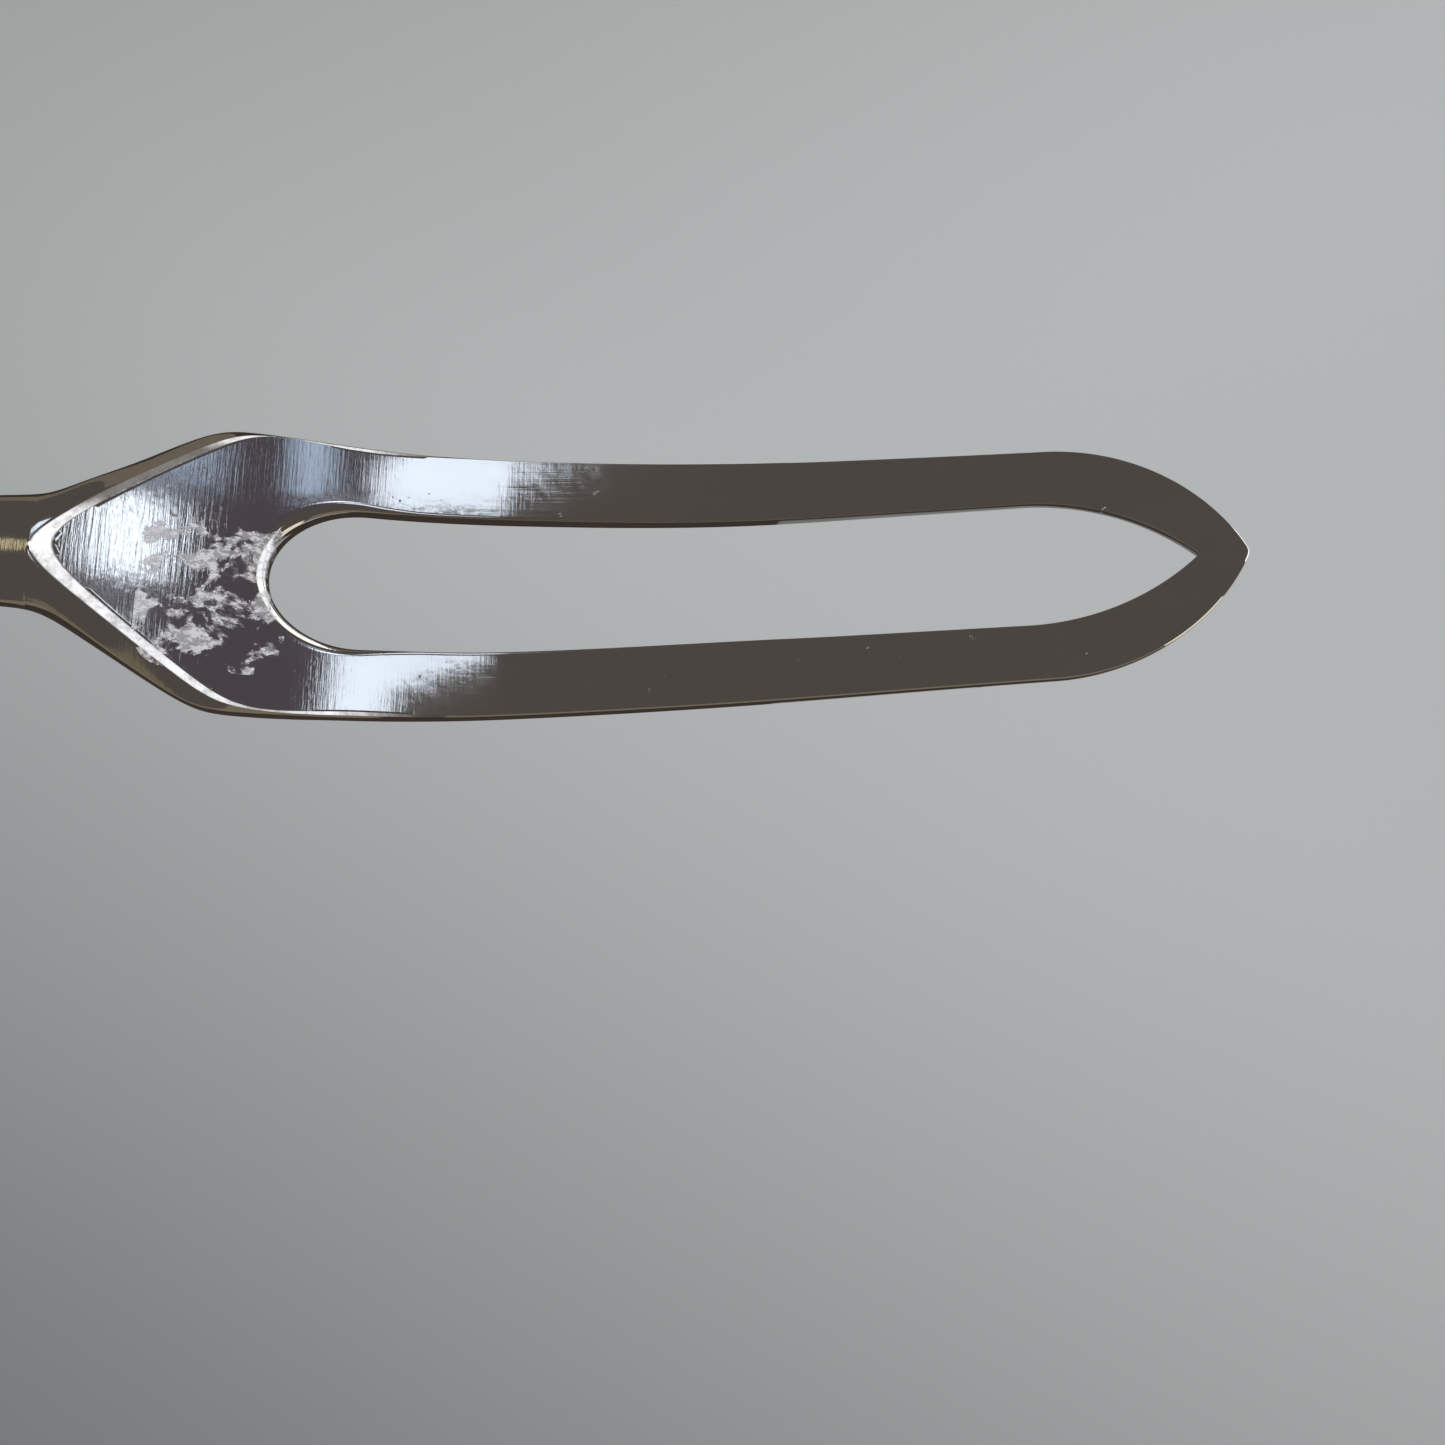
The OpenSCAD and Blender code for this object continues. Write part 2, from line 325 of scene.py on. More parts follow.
def flat(slot, outer, radius, height, sign):
    """Rows from the slot's wall, over its rounded edge and across to a curve on the outside."""
    out = outward(slot)
    q = np.linspace(0, math.pi / 2, 7)
    d, drop = radius[:, None] * (1 - np.cos(q)), radius[:, None] * (1 - np.sin(q))
    near = slot[:, None] + out[:, None] * d[..., None]
    near = points(near[..., 0], near[..., 1], height(near[..., 0]) - sign * drop)
    share = np.array([0.04, 0.15, 0.3, 0.45, 0.6, 0.75, 0.9, 0.97, 1])[None, :, None]
    far = (slot + out * radius[:, None])[:, None] * (1 - share) + outer[:, None] * share
    far = points(far[..., 0], far[..., 1], height(far[..., 0]))
    return np.concatenate([near, far], 1)


def blade_mesh():
    slot = three_parts(slot_half, SLOT_X, SLOT_POINT_X, COUNTS)
    face = three_parts(face_half, FACE_NOSE_X, tip_end(FACE_INSET), COUNTS)
    chamfer = three_parts(chamfer_half, CHAMFER_NOSE_X, tip_end(CHAMFER_INSET), COUNTS)
    x = np.concatenate([chamfer[:-COUNTS[2], 0], along(half_width, SLOT_CLOSE_X, TIP_X, COUNTS[2])[:, 0]])
    a, z = half_width(x), widest_z(x)
    low_z = z - below(x)
    foot = np.maximum(0, a - rounding(x))
    at_root = ease(SLOT_X + 8, SLOT_X + 1, slot[:, 0])
    top = flat(slot, face, mix(ARM_EDGE, ROOT_EDGE, at_root), face_z, 1)
    low = flat(slot, np.stack([x, foot], -1), mix(ARM_EDGE, ROOT_EDGE_BACK, at_root),
               lambda v: widest_z(v) - below(v), -1)

    chamfer_z = face_z(chamfer[:, 0]) - chamfer_drop(chamfer[:, 0])
    share = np.array([0, 0.12, 0.5, 0.88, 1])[None, :, None]
    inner = points(face[:, 0], face[:, 1], face_z(face[:, 0]))
    outer = points(chamfer[:, 0], chamfer[:, 1], chamfer_z)

    skin = Skin()
    skin.grid(top)
    skin.grid(inner[:, None] * (1 - share) + outer[:, None] * share,
              mark=ease(17, 12, x)[:, None] * np.array([0, 1, 1, 1, 0]))
    skin.grid(bend(outer, points(x, a, z + fullness(x) * (chamfer_z - z)), points(x, a, z), squareness(x),
                   QUARTER))
    skin.grid(bend(points(x, a, z), points(x, a, low_z), points(x, foot, low_z), squareness(x), QUARTER))
    skin.grid(low[:, ::-1])
    skin.grid(np.stack([low[:, 0], mix(low[:, 0], top[:, 0], 0.5), top[:, 0]], 1))
    add_neck(skin)
    return smooth(skin.mesh("blade"), BLADE_CREASE)


def add_neck(skin):
    """Neck and bolster, from the blade back."""
    x = np.concatenate([np.linspace(BOLSTER_X, NECK_X, 70), np.linspace(NECK_X, CHAMFER_NOSE_X, 30)[1:]])
    z, a, weight = widest_z(x), half_width(x), squareness(x)
    nose_z = float(face_z(np.array(CHAMFER_NOSE_X)) - chamfer_drop(np.array(CHAMFER_NOSE_X)))
    crest = mix(nose_z, HANDLE_T, in_bolster(x))
    crown = np.maximum(0, a - BOLSTER_ROUND) * in_bolster(x)
    foot = np.maximum(0, a - rounding(x)) * in_bolster(x)
    low_z = z - below(x)
    share = np.linspace(0, 1, 5)[None, :]
    skin.grid(points(x[:, None], crown[:, None] * share, crest[:, None]))
    skin.grid(bend(points(x, crown, crest), points(x, a, crest), points(x, a, z), weight, QUARTER))
    skin.grid(bend(points(x, a, z), points(x, a, low_z), points(x, foot, low_z), weight, QUARTER))
    skin.grid(points(x[:, None], foot[:, None] * (1 - share), low_z[:, None]))


# ---------------------------------------------------------------- handle

BUTT_R = 13.8
BUTT_X = -POINT_X + BUTT_R
SWEEP_R = 16.0
SWEEP_X = BUTT_X + math.sqrt((BUTT_R + SWEEP_R) ** 2 - (GRIP_W / 2 + SWEEP_R) ** 2)
SWEEP_Q = math.atan2(GRIP_W / 2 + SWEEP_R, SWEEP_X - BUTT_X)
TANG_T, LINER_T, MARKER_T = 2.6, 0.4, 1.9
TANG_Z, TANG_TOP_Z = MID_Z - TANG_T / 2, MID_Z + TANG_T / 2
SCALE_Z, SCALE_TOP_Z = TANG_Z - LINER_T, TANG_TOP_Z + LINER_T
GAP = 0.05                                 # clearance between parts that fit together
OVER = 2                                   # how far a cutter runs past what it cuts
POCKET_Z = HANDLE_T - MARKER_T - 0.1
POCKET_FLOOR_Z = POCKET_Z - GAP            # top of what lies under the marker
MARKER_R, MARKER_TOP_Z = 12.0, POCKET_Z + MARKER_T
ENAMEL_R, ENAMEL_Z = MARKER_R - 1.3, MARKER_TOP_Z - 0.5
MAGNET_R = 5.0
NOTCH_R = 6.0
RIVET_XS = (BOLSTER_X - 4, BOLSTER_X - 11.4)
RIVET_R, RIVET_HEAD_R, RIVET_HEAD_T = 2.0, 2.6, 1.2
RIVET_SUNK = 0.1                           # how far rivet heads lie under the scales' faces
SLEEVE_BORE_R, SLEEVE_BORE_Z = 1.25, 2
SHANK_R, SHANK_Z = 1.2, 3
SCREW_Y, SCREW_R, SCREW_HEAD_R, SCREW_END_Z = 8.2, 1.0, 1.8, 1.3
SCREW_HEAD_Z = POCKET_FLOOR_Z - 0.8


def handle_outline(start_x, inset):
    """Closed outline of the handle, a given inset inside its edge but not at the bolster."""
    h, r, sweep = GRIP_W / 2 - inset, BUTT_R - inset, SWEEP_R + inset
    grip = np.stack([np.linspace(start_x, SWEEP_X, 8)[:-1], np.full(7, h)], -1)
    q = np.linspace(1.5 * math.pi, math.pi + SWEEP_Q, 40)
    hollow = np.stack([SWEEP_X + sweep * np.cos(q), GRIP_W / 2 + SWEEP_R + sweep * np.sin(q)], -1)
    q = np.linspace(SWEEP_Q, math.pi, 90)
    butt = np.stack([BUTT_X + r * np.cos(q), r * np.sin(q)], -1)
    half = np.concatenate([grip, hollow, butt[1:]])
    return np.concatenate([half, half[-2::-1] * (1, -1)])


def slab(z0, z1, start_x=BOLSTER_X, low_edge=0.03, high_edge=0.03):
    """Slab of the handle's outline, with its lower and upper edges rounded."""
    q = np.linspace(0, math.pi / 2, 9)
    rings = [(low_edge * (1 - np.sin(v)), z0 + low_edge * (1 - np.cos(v))) for v in q]
    rings += [(high_edge * (1 - np.cos(v)), z1 - high_edge * (1 - np.sin(v))) for v in q]
    bm = bmesh.new()
    loops = []
    for inset, z in rings:
        loops.append([bm.verts.new(Vector((x, y, z)) * MM) for x, y in handle_outline(start_x, inset)])
    for low, high in zip(loops, loops[1:]):
        for i in range(len(low)):
            j = (i + 1) % len(low)
            bm.faces.new((low[i], low[j], high[j], high[i]))
    bm.faces.new(loops[0])
    bm.faces.new(loops[-1])
    return finished(bm, "slab")


def finished(bm, name):
    """Mesh of closed shells, with all their faces turned outwards."""
    bmesh.ops.recalc_face_normals(bm, faces=bm.faces)
    mesh = bpy.data.meshes.new(name)
    bm.to_mesh(mesh)
    bm.free()
    return mesh


def lathe(profile, places, segments=96):
    """Closed solids turned round upright axes. The (radius, height) points start and end on the axis."""
    bm = bmesh.new()
    for px, py in places:
        low = bm.verts.new(Vector((px, py, profile[0][1])) * MM)
        high = bm.verts.new(Vector((px, py, profile[-1][1])) * MM)
        rings = []
        for r, z in profile[1:-1]:
            angles = np.linspace(0, 2 * math.pi, segments, endpoint=False)
            rings.append([bm.verts.new(Vector((px + r * math.cos(q), py + r * math.sin(q), z)) * MM)
                          for q in angles])
        for i in range(segments):
            j = (i + 1) % segments
            bm.faces.new((low, rings[0][j], rings[0][i]))
            bm.faces.new((high, rings[-1][i], rings[-1][j]))
            for a, b in zip(rings, rings[1:]):
                bm.faces.new((a[i], a[j], b[j], b[i]))
    return finished(bm, "lathe")


def rod(r, z0, z1, places, segments=96):
    return lathe([(0, z0), (r, z0), (r, z1), (0, z1)], places, segments)


def cut(mesh, *cutters):
    """The mesh with the cutter meshes taken out of it."""
    body = bpy.data.objects.new("cut", mesh)
    bpy.context.scene.collection.objects.link(body)
    tools = []
    for cutter in cutters:
        tool = bpy.data.objects.new("cutter", cutter)
        bpy.context.scene.collection.objects.link(tool)
        modifier = body.modifiers.new("cut", "BOOLEAN")
        modifier.operation = "DIFFERENCE"
        modifier.solver = "EXACT"
        modifier.object = tool
        tools.append(tool)
    result = bpy.data.meshes.new_from_object(body.evaluated_get(bpy.context.evaluated_depsgraph_get()))
    for thing in tools + [body]:
        bpy.data.objects.remove(thing)
    return result


def smooth(mesh, degrees=30):
    """Smooth shading, with creases where faces meet at more than an angle."""
    for polygon in mesh.polygons:
        polygon.use_smooth = True
    mesh.set_sharp_from_angle(angle=math.radians(degrees))
    return mesh


AT_RIVETS = [(x, 0) for x in RIVET_XS]
AT_SCREWS = [(BUTT_X, SCREW_Y), (BUTT_X, -SCREW_Y)]
AT_MARKER = [(BUTT_X, 0)]


def fastener_holes():
    return [rod(RIVET_R + GAP, -OVER, HANDLE_T + OVER, AT_RIVETS),
            rod(SCREW_R + GAP, SCREW_END_Z - GAP, HANDLE_T + OVER, AT_SCREWS)]


def tang_mesh():
    return smooth(cut(slab(TANG_Z, TANG_TOP_Z, BOLSTER_X + 1), *fastener_holes()))


def front_scale_mesh():
    pocket_r = MARKER_R + 0.15
    rim_r = pocket_r + 0.25
    pocket = lathe([(0, POCKET_Z), (pocket_r, POCKET_Z), (pocket_r, HANDLE_T - 0.2), (rim_r, HANDLE_T + GAP),
                    (rim_r, HANDLE_T + 1), (0, HANDLE_T + 1)], AT_MARKER, 192)
    head_r = SCREW_HEAD_R + GAP
    countersink = lathe([(0, SCREW_HEAD_Z), (SCREW_R + GAP, SCREW_HEAD_Z), (head_r, POCKET_FLOOR_Z),
                         (head_r, POCKET_Z + GAP), (0, POCKET_Z + GAP)], AT_SCREWS)
    return smooth(cut(
        slab(SCALE_TOP_Z, HANDLE_T, high_edge=1.0),
        *fastener_holes(),
        rod(MAGNET_R + GAP, TANG_TOP_Z, HANDLE_T, AT_MARKER),
        pocket,
        rod(NOTCH_R, POCKET_Z + 0.6, HANDLE_T + OVER, [(BUTT_X - BUTT_R - 3.2, 0)]),
        rod(RIVET_HEAD_R + GAP, HANDLE_T - RIVET_HEAD_T - GAP, HANDLE_T + OVER, AT_RIVETS),
        countersink))


def back_scale_mesh():
    return smooth(cut(
        slab(0, SCALE_Z, low_edge=0.9),
        *fastener_holes(),
        rod(RIVET_HEAD_R + GAP, -OVER, RIVET_HEAD_T + GAP, AT_RIVETS)))


def rivet_sleeve_mesh():
    r, low, end = RIVET_HEAD_R, RIVET_SUNK, HANDLE_T - RIVET_HEAD_T - 2 * GAP
    sleeve = lathe([(0, low), (r - 0.3, low), (r - 0.1, low + 0.05), (r, low + 0.2), (r, RIVET_HEAD_T),
                    (RIVET_R, RIVET_HEAD_T), (RIVET_R, end), (0, end)], AT_RIVETS)
    return smooth(cut(sleeve, rod(SLEEVE_BORE_R, SLEEVE_BORE_Z, HANDLE_T, AT_RIVETS)))


def rivet_screw_mesh():
    r, under, top = RIVET_HEAD_R, HANDLE_T - RIVET_HEAD_T, HANDLE_T - RIVET_SUNK
    return smooth(lathe([(0, SHANK_Z), (SHANK_R, SHANK_Z), (SHANK_R, under), (r, under), (r, top - 0.2),
                         (r - 0.1, top - 0.05), (r - 0.3, top), (0, top)], AT_RIVETS))


def pocket_screw_mesh():
    top = POCKET_FLOOR_Z
    screw = lathe([(0, SCREW_END_Z), (SCREW_R, SCREW_END_Z), (SCREW_R, SCREW_HEAD_Z),
                   (SCREW_HEAD_R, top - 0.05), (SCREW_HEAD_R - 0.05, top), (0, top)], AT_SCREWS)
    return smooth(cut(screw, rod(0.7, POCKET_Z - 0.6, POCKET_Z + 0.4, AT_SCREWS, segments=6)))


def magnet_mesh():
    r, top = MAGNET_R, POCKET_FLOOR_Z
    return smooth(lathe([(0, TANG_TOP_Z), (r, TANG_TOP_Z), (r, top - 0.2), (r - 0.07, top - 0.07),
                         (r - 0.2, top), (0, top)], AT_MARKER))


def marker_blank_mesh():
    r, low, top = MARKER_R, POCKET_Z, MARKER_TOP_Z
    return smooth(lathe([(0, low), (r - 0.2, low), (r - 0.06, low + 0.06), (r, low + 0.2), (r, top - 0.3),
                         (r - 0.1, top - 0.1), (r - 0.3, top), (ENAMEL_R + 0.08, top), (ENAMEL_R, top - 0.06),
                         (ENAMEL_R, ENAMEL_Z), (0, ENAMEL_Z)], AT_MARKER, 256))


def marker_enamel_mesh():
    r, top = ENAMEL_R, MARKER_TOP_Z - GAP
    return smooth(lathe([(0, ENAMEL_Z), (r, ENAMEL_Z), (r, top - 0.05), (r - 0.1, top), (0, top)],
                        AT_MARKER, 256))


def new_piece(name, mesh, body, material, node):
    """Puts a mesh in the scene as a piece that rides on a body and stands for a CAD node."""
    piece = bpy.data.objects.new(name, mesh)
    bpy.context.scene.collection.objects.link(piece)
    mesh.materials.clear()
    mesh.materials.append(material)
    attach(piece, body)
    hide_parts(node)


# ---------------------------------------------------------------- materials

class Graph:
    """A material's node graph, with short ways to add nodes. Lengths in it are millimetres."""

    def __init__(self, name):
        self.material = bpy.data.materials.new(name)
        self.material.use_nodes = True
        self.nodes, self.links = self.material.node_tree.nodes, self.material.node_tree.links
        self.shader = self.nodes["Principled BSDF"]
        self.place = self.node("ShaderNodeTexCoord").outputs["Object"]

    def node(self, kind, inputs=None, **settings):
        node = self.nodes.new(kind)
        for key, value in settings.items():
            setattr(node, key, value)
        for key, value in (inputs or {}).items():
            if isinstance(value, bpy.types.NodeSocket):
                self.links.new(value, node.inputs[key])
            else:
                node.inputs[key].default_value = value
        return node

    def coords(self, stretch=(1, 1, 1)):
        scale = tuple(v / MM for v in stretch)
        return self.node("ShaderNodeMapping", {"Vector": self.place, "Scale": scale}).outputs[0]

    def noise(self, scale, detail=2.0, stretch=(1, 1, 1), roughness=0.5, distortion=0.0):
        return self.node("ShaderNodeTexNoise", {
            "Vector": self.coords(stretch), "Scale": scale, "Detail": detail, "Roughness": roughness,
            "Distortion": distortion}).outputs[0]

    def axis(self, name):
        return self.node("ShaderNodeSeparateXYZ", {0: self.coords()}).outputs[name]

    def remap(self, value, low, high, to_low=0.0, to_high=1.0):
        return self.node("ShaderNodeMapRange", {
            "Value": value, "From Min": low, "From Max": high, "To Min": to_low, "To Max": to_high},
            interpolation_type="SMOOTHSTEP").outputs[0]

    def math(self, operation, a, b=0.0):
        return self.node("ShaderNodeMath", {0: a, 1: b}, operation=operation).outputs[0]

    def blend(self, factor, a, b):
        """Mix of two numbers."""
        return self.node("ShaderNodeMix", {0: factor, 2: a, 3: b}).outputs[0]

    def tint(self, factor, a, b):
        """Mix of two colours."""
        return self.node("ShaderNodeMix", {0: factor, 6: a, 7: b}, data_type="RGBA").outputs[2]

    def bump(self, height, depth, strength=1.0, normal=None):
        inputs = {"Height": height, "Distance": depth * MM, "Strength": strength}
        if normal:
            inputs["Normal"] = normal
        return self.node("ShaderNodeBump", inputs).outputs[0]

    def set(self, **inputs):
        for key, value in inputs.items():
            socket = self.shader.inputs[key.replace("_", " ")]
            if isinstance(value, bpy.types.NodeSocket):
                self.links.new(value, socket)
            else:
                socket.default_value = value
        return self.material


def band(g, value, low, high, soft):
    """1 between low and high, fading to 0 over a soft border."""
    return g.math("MULTIPLY", g.remap(value, low, low + soft), g.remap(value, high, high - soft))


def polished_steel():
    g = Graph("polished_steel")
    x, y = g.axis("X"), g.axis("Y")
    chamfer = g.node("ShaderNodeAttribute", attribute_name="chamfer").outputs["Fac"]

    # fine polishing lines: across the blade at the shoulder, lengthwise on the arms
    across = g.noise(1.0, 4, (7, 0.35, 1), 0.6)
    lengthwise = g.noise(1.0, 4, (0.12, 8, 1), 0.6)
    on_arms = g.remap(g.math("ADD", x, g.math("MULTIPLY", g.noise(0.6, 3, (0.3, 3, 1)), 6)), 20, 27)
    lines = g.blend(on_arms, across, g.math("MULTIPLY", lengthwise, 0.35))

    # dried cleaning residue on the middle of the shoulder
    cloud = g.noise(0.55, 6, (1, 1.15, 1), 0.62, 0.4)
    zone = g.math("MULTIPLY", band(g, x, 1.8, 11.0, 3.0), band(g, y, -6.8, 3.8, 3.0))
    residue = g.math("MULTIPLY", g.remap(cloud, 0.5, 0.56), g.math("GREATER_THAN", zone, 0.35))
    thin = g.math("MULTIPLY", g.remap(g.noise(2.2, 5, (1, 1.6, 1), 0.7), 0.45, 0.62), 0.7)
    residue = g.math("MULTIPLY", residue, g.math("ADD", thin, 0.3))

    # pits and specks
    pits = g.remap(g.noise(1.7, 2, (1, 1, 1)), 0.74, 0.78)
    mottle = g.noise(0.35, 4, (0.5, 1, 1))
    colour = g.tint(mottle, (0.66, 0.65, 0.635, 1), (0.6, 0.59, 0.585, 1))
    colour = g.tint(residue, colour, (0.5, 0.5, 0.54, 1))
    # the chamfer's grind and roughness are real, but its near-white colour and low metalness are a painted
    # highlight, painted weaker on the far side between apex and shoulder
    painted_highlight_side = g.math("MAXIMUM", g.remap(y, 1.6, 3.0, 1.0, 0.2), g.remap(y, 5.6, 6.8, 0.0, 0.9))
    chamfer_painted_highlight = g.math("MULTIPLY", chamfer, painted_highlight_side)
    chamfer_painted_highlight = g.math("MULTIPLY", chamfer_painted_highlight, g.remap(g.noise(1.3, 5, (1, 1, 1), 0.7), 0.3, 0.6, 0.55, 1.0))
    # painted highlight: the chamfer turns near white
    colour = g.tint(chamfer_painted_highlight, colour, (0.95, 0.96, 1.0, 1))
    rough = g.blend(mottle, 0.035, 0.07)
    rough = g.blend(chamfer, rough, g.blend(g.noise(2.0, 4), 0.05, 0.3))
    rough = g.blend(residue, rough, 0.45)
    rough = g.math("ADD", rough, g.math("MULTIPLY", pits, 0.3))
    smear = g.noise(0.8, 3, (1, 1, 1))
    normal = g.bump(g.math("MULTIPLY", lines, g.remap(x, 4, 9, 0.75, 0.45)), 0.0075)
    normal = g.bump(smear, 0.003, normal=normal)
    normal = g.bump(pits, 0.01, normal=normal)
    grit = g.math("MULTIPLY", g.noise(6.0, 4), chamfer)
    normal = g.bump(grit, 0.02, normal=normal)
    # metalness drops under the residue and under the chamfer's painted highlight
    metal = g.blend(g.math("MAXIMUM", residue, chamfer_painted_highlight), 1.0, 0.1)
    return g.set(Metallic=metal, Base_Color=colour, Roughness=rough, Normal=normal)


def scale_wood():
    g = Graph("scale_wood")
    warp = g.noise(0.12, 3, (0.5, 1, 1))
    rings = g.noise(1.0, 4, (0.06, 0.9, 0.9), 0.6, 0.8)
    fibre = g.noise(1.0, 5, (0.35, 9, 9), 0.65)
    pores = g.remap(g.noise(1.0, 3, (0.8, 16, 16)), 0.62, 0.72)
    tone = g.math("ADD", g.math("MULTIPLY", rings, 0.75), g.math("MULTIPLY", fibre, 0.25))
    tone = g.remap(g.math("ADD", tone, g.math("MULTIPLY", warp, 0.1)), 0.4, 0.68)
    colour = g.tint(tone, (0.028, 0.013, 0.007, 1), (0.155, 0.07, 0.03, 1))
    colour = g.tint(pores, colour, (0.012, 0.006, 0.004, 1))
    normal = g.bump(g.math("ADD", fibre, g.math("MULTIPLY", pores, -1.0)), 0.035)
    return g.set(Base_Color=colour, Roughness=g.blend(fibre, 0.28, 0.48), Normal=normal, Coat_Weight=0.15,
                 Coat_Roughness=0.2)


def liner_fibre():
    g = Graph("liner_fibre")
    weave = g.noise(6.0, 4, (0.6, 1, 1.5), 0.7)
    colour = g.tint(weave, (0.11, 0.012, 0.01, 1), (0.24, 0.035, 0.026, 1))
    return g.set(Base_Color=colour, Roughness=g.blend(weave, 0.45, 0.7), Normal=g.bump(weave, 0.02))


def turned_metal(name, colour, dark, rough_low, rough_high, stretch):
    """Bare metal with fine machining lines and faint blotches."""
    g = Graph(name)
    lines = g.noise(1.0, 4, stretch, 0.65)
    blotch = g.noise(0.7, 4)
    return g.set(Metallic=1.0, Base_Color=g.tint(blotch, colour, dark),
                 Roughness=g.blend(lines, rough_low, rough_high), Normal=g.bump(lines, 0.006))


def enamel_green():
    g = Graph("enamel_green")
    depth = g.noise(0.25, 3)
    flecks = g.remap(g.noise(9.0, 2), 0.66, 0.74)
    colour = g.tint(depth, (0.004, 0.06, 0.022, 1), (0.012, 0.12, 0.045, 1))
    colour = g.tint(g.math("MULTIPLY", flecks, 0.35), colour, (0.05, 0.24, 0.11, 1))
    return g.set(Base_Color=colour, Roughness=g.blend(g.noise(1.2, 3), 0.08, 0.18), Coat_Weight=0.6,
                 Coat_Roughness=0.04, Normal=g.bump(g.noise(0.9, 2), 0.01))


# ---------------------------------------------------------------- camera, floor and lights

CAMERA_TILT = math.radians(20)              # from straight down, towards the front
CAMERA_ROLL = 0.05                         # radians
CAMERA_DISTANCE = 96.6
FOCAL_LENGTH, SENSOR_WIDTH = 49.827, 36
CAMERA_AIM = Vector((POINT_X - 25.0, -7.28, 1.82))
FLOOR_Z = -160
BLADE_MIDDLE = Vector((20, 0, 3))
ROOM = (0.11, 0.095, 0.085)                # radiance of the dim room all round
DAYLIGHT = (1.3, 1.45, 1.65)
CEILING_Z = 500


def make_camera():
    tilt, roll = CAMERA_TILT, CAMERA_ROLL
    back = Vector((-math.cos(tilt) * math.sin(roll), -math.sin(tilt), math.cos(tilt) * math.cos(roll)))
    right = Vector((math.cos(roll), 0, math.sin(roll)))
    up = back.cross(right)
    camera = bpy.data.objects.new("camera", bpy.data.cameras.new("camera"))
    bpy.context.scene.collection.objects.link(camera)
    camera.data.sensor_width = SENSOR_WIDTH
    camera.data.lens = FOCAL_LENGTH
    camera.data.clip_start = 0.001
    rotation = Matrix((right, up, back)).transposed().to_4x4()
    camera.matrix_world = Matrix.Translation((CAMERA_AIM + back * CAMERA_DISTANCE) * MM) @ rotation
    bpy.context.scene.camera = camera


def make_floor():
    """Plain floor with painted shade: its colour grows darker towards the front left."""
    bpy.ops.mesh.primitive_plane_add(size=8, location=(0, 0, FLOOR_Z * MM))
    floor = bpy.context.object
    floor.name = "floor"
    g = Graph("floor")
    pale = (0.4, 0.415, 0.422, 1)
    x, y = g.axis("X"), g.axis("Y")
    # painted shade: pale at the back right, dark grey towards the front left, mid grey towards the back left,
    # pale again far off
    share = g.remap(g.math("ADD", y, g.math("MULTIPLY", x, 0.6)), -110, 120)
    corner = g.remap(g.math("SUBTRACT", y, g.math("MULTIPLY", x, 0.5)), 60, 240)
    colour = g.tint(share, (0.155, 0.16, 0.168, 1), pale)
    colour = g.tint(g.math("MULTIPLY", corner, 0.9), colour, (0.282, 0.299, 0.295, 1))
    away = g.remap(g.math("SUBTRACT", g.math("MULTIPLY", x, -0.6), y), 170, 420)
    colour = g.tint(away, colour, pale)
    colour = g.tint(g.math("MULTIPLY", g.noise(0.01, 3), 0.1), colour, (0.3, 0.31, 0.31, 1))
    grain = g.bump(g.noise(0.8, 3), 0.01)
    floor.data.materials.append(g.set(Base_Color=colour, Roughness=0.85, Normal=grain))


def lamp(name, place, size, power, colour):
    """Soft square light, its place and side in metres. Polished steel doesn't mirror it."""
    light = bpy.data.lights.new(name, "AREA")
    light.shape = "SQUARE"
    light.size = size
    light.energy = power
    light.color = colour
    thing = bpy.data.objects.new(name, light)
    bpy.context.scene.collection.objects.link(thing)
    thing.location = place
    thing.rotation_euler = (BLADE_MIDDLE * MM - Vector(place)).to_track_quat("-Z", "Y").to_euler()
    thing.visible_camera = False
    thing.visible_glossy = False


def card(name, corners, radiance):
    """Flat card, its corners in millimetres, that only mirror-like surfaces show."""
    mesh = bpy.data.meshes.new(name)
    mesh.from_pydata([Vector(corner) * MM for corner in corners], [], [range(len(corners))])
    thing = bpy.data.objects.new(name, mesh)
    bpy.context.scene.collection.objects.link(thing)
    g = Graph(name)
    emission = g.node("ShaderNodeEmission", {"Color": (*radiance, 1), "Strength": 1.0})
    g.links.new(emission.outputs[0], g.nodes["Material Output"].inputs["Surface"])
    mesh.materials.append(g.material)
    thing.visible_camera = False
    thing.visible_diffuse = False
    thing.visible_shadow = False
    thing.visible_transmission = False


def overhead(name, outline, radiance, height=CEILING_Z):
    """Level card."""
    card(name, [(x, y, height) for x, y in outline], radiance)


def beside(name, x, y0, y1, z0, z1, radiance):
    """Upright card that faces along X."""
    card(name, [(x, y0, z0), (x, y0, z1), (x, y1, z1), (x, y1, z0)], radiance)


def facing(name, y, x0, x1, z0, z1, radiance):
    """Upright card that faces along Y."""
    card(name, [(x0, y, z0), (x0, y, z1), (x1, y, z1), (x1, y, z0)], radiance)


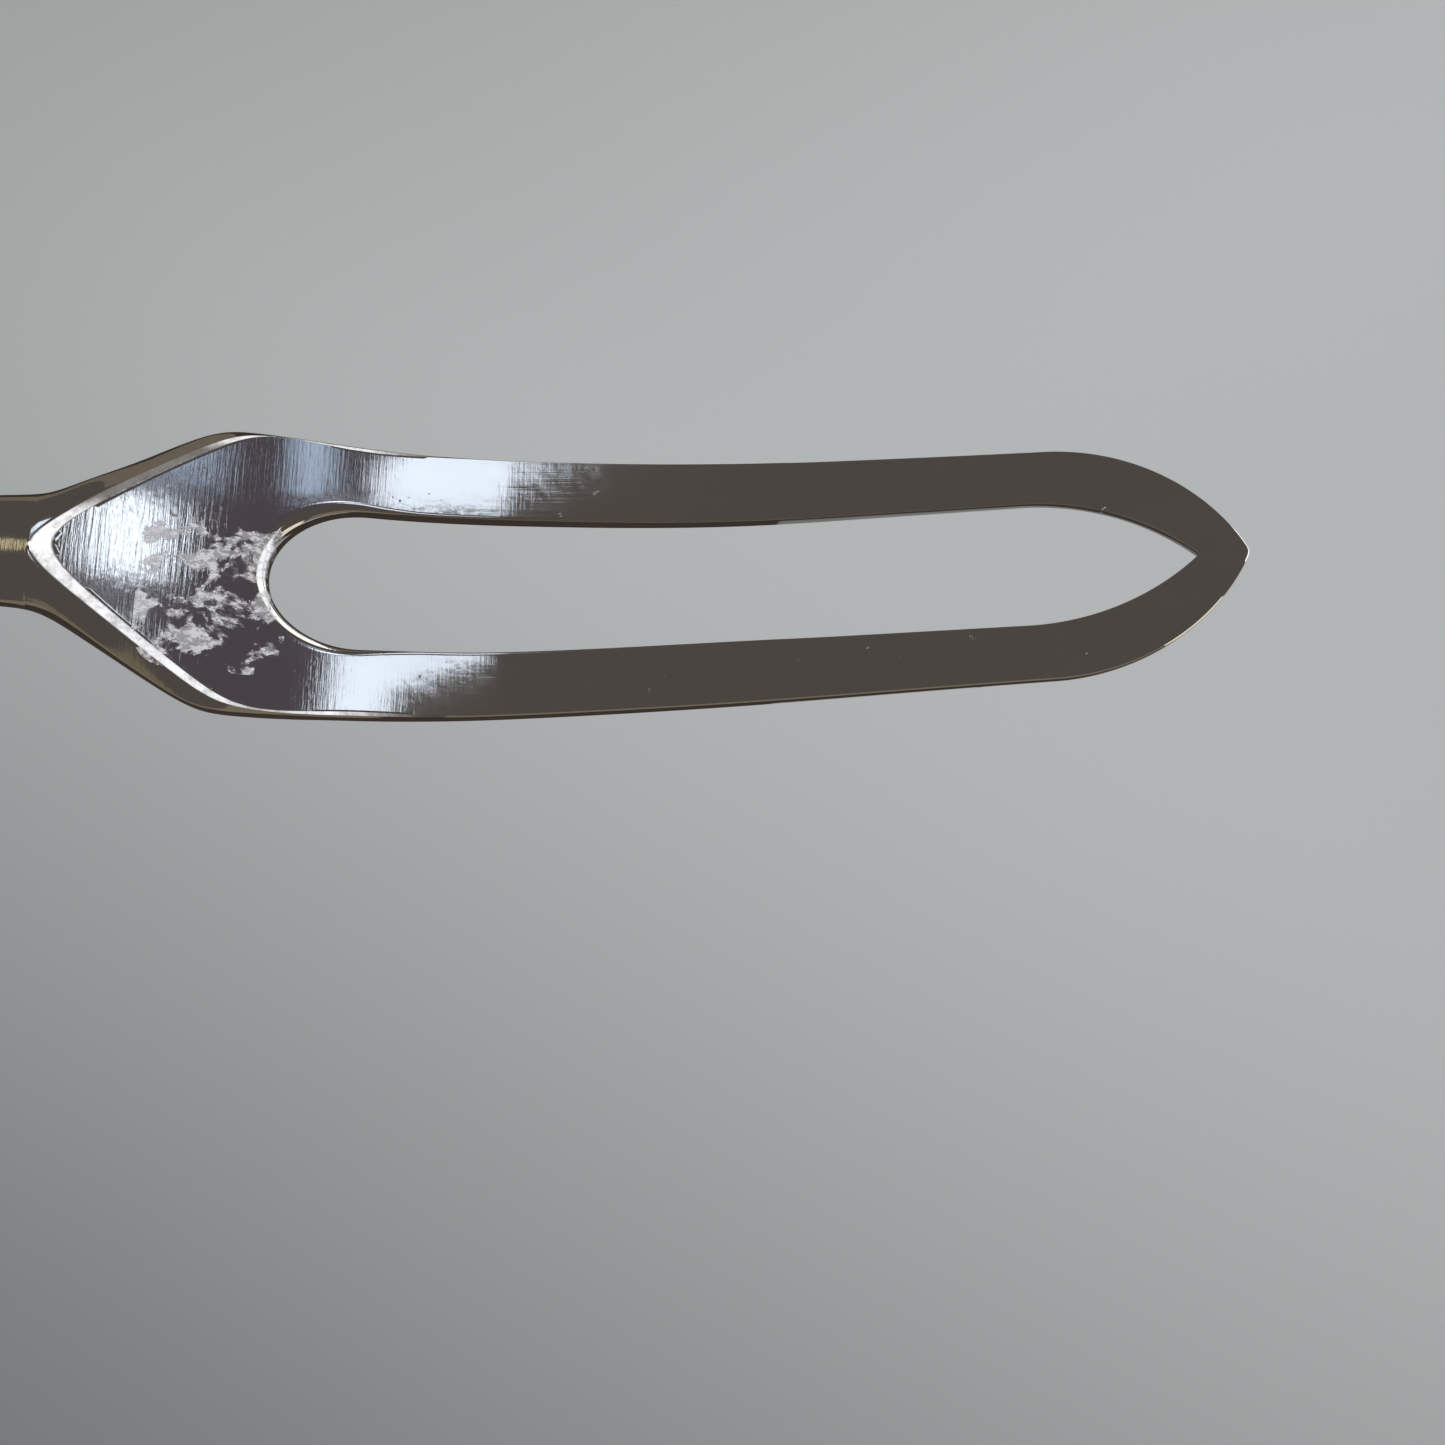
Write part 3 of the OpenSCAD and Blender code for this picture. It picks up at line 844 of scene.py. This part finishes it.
def make_cards():
    """What the polished steel mirrors: a window, paler and darker walls, and the dark floor right below."""
    overhead("window_right", [(-72, 273), (45, 275), (92, 257), (76, 243), (-50, 246)], DAYLIGHT)
    overhead("window_left", [(102, 246), (147, 244), (145, 217), (102, 217)], (2.1, 2.35, 2.65))
    overhead("window_front",
             [(-42, 202), (116, 202), (129, 160), (54, 160), (57, 181), (16, 187), (-42, 195)], DAYLIGHT)
    overhead("window_side", [(130, 256), (130, 290), (174, 290), (174, 256)], (0.55, 0.68, 0.88))
    overhead("curtain", [(88, 100), (88, 330), (330, 330), (330, 100)], (0.1, 0.086, 0.1), CEILING_Z + 20)
    overhead("lamp", [(-225, 196), (-225, 240), (-165, 250), (-165, 206)], (0.9, 0.8, 0.5))
    overhead("shade", [(30, 2), (75, 2), (75, 32), (30, 32)], ROOM, 40)
    overhead("skylight_left", [(-255, 120), (-330, 60), (-520, 260), (-330, 400)], (2.2, 2.25, 2.35))
    beside("right_window", 150, -5, 84, -80, 125, (1.8, 1.85, 1.95))
    beside("right_front", 150, -110, -35, -20, 40, (1.2, 1.1, 0.85))
    beside("right_lamp", 150, 85, 160, -80, 110, (1.9, 1.9, 1.8))
    facing("back_window", 300, 75, 260, -60, 230, (1.7, 1.68, 1.6))
    facing("back_wall", 480, -300, 440, -60, 200, (0.2, 0.17, 0.13))
    facing("front_wall", -420, -450, 450, -60, 230, (0.24, 0.21, 0.15))
    card("left_wall", [(-430, -600, 0), (-430, -600, 700), (-430, 250, 480), (-430, 250, 0)],
         (0.2, 0.175, 0.12))
    overhead("below", [(-2500, -2500), (140, -2500), (140, -13), (36, -13), (36, 2500), (-2500, 2500)],
             (0.06, 0.045, 0.038), -25)


def make_world():
    world = bpy.data.worlds.new("studio")
    bpy.context.scene.world = world
    world.use_nodes = True
    world.node_tree.nodes["Background"].inputs["Color"].default_value = (*ROOM, 1)


def make_lamps():
    lamp("ceiling", (0.25, 0.45, 0.9), 0.9, 13.9, (0.985, 1.0, 1.0))
    lamp("fill", (-0.5, -0.6, 0.6), 0.7, 5.0, (1.0, 0.99, 0.98))


def make_pieces():
    steel, wood = polished_steel(), scale_wood()
    rivet = turned_metal("rivet_steel", (0.68, 0.67, 0.65, 1), (0.58, 0.57, 0.55, 1), 0.16, 0.32, (0.5, 9, 1))
    screw = turned_metal("screw_steel", (0.42, 0.41, 0.4, 1), (0.3, 0.29, 0.28, 1), 0.25, 0.4, (6, 6, 1))
    nickel = turned_metal("magnet_nickel", (0.6, 0.57, 0.52, 1), (0.5, 0.47, 0.43, 1), 0.15, 0.28, (2, 2, 2))
    blank = turned_metal("marker_steel", (0.7, 0.69, 0.67, 1), (0.6, 0.59, 0.58, 1), 0.1, 0.22, (3, 3, 1))
    new_piece("blade", blade_mesh(), "tool", steel, "forged_blade")
    new_piece("tang", tang_mesh(), "tool", steel, "forged_blade")
    new_piece("front_scale_wood", front_scale_mesh(), "tool", wood, "front_scale")
    new_piece("back_scale_wood", back_scale_mesh(), "tool", wood, "back_scale")
    new_piece("rivet_sleeve_steel", rivet_sleeve_mesh(), "tool", rivet, "rivet_sleeves")
    new_piece("rivet_screw_steel", rivet_screw_mesh(), "tool", rivet, "rivet_screws")
    new_piece("pocket_screw_steel", pocket_screw_mesh(), "tool", screw, "pocket_screws")
    new_piece("magnet_nickel", magnet_mesh(), "tool", nickel, "magnet")
    new_piece("marker_blank_steel", marker_blank_mesh(), "marker", blank, "marker_blank")
    new_piece("marker_enamel_green", marker_enamel_mesh(), "marker", enamel_green(),
              "marker_enamel")


def dress_liners():
    """The liners keep their CAD shape and only get their material."""
    fibre = liner_fibre()
    for liner in ("front_liner", "back_liner"):
        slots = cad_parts[liner].data.materials
        slots.clear()
        slots.append(fibre)


make_pieces()
dress_liners()
bpy.context.scene.view_settings.view_transform = "Standard"
make_camera()
make_floor()
make_world()
make_cards()
make_lamps()
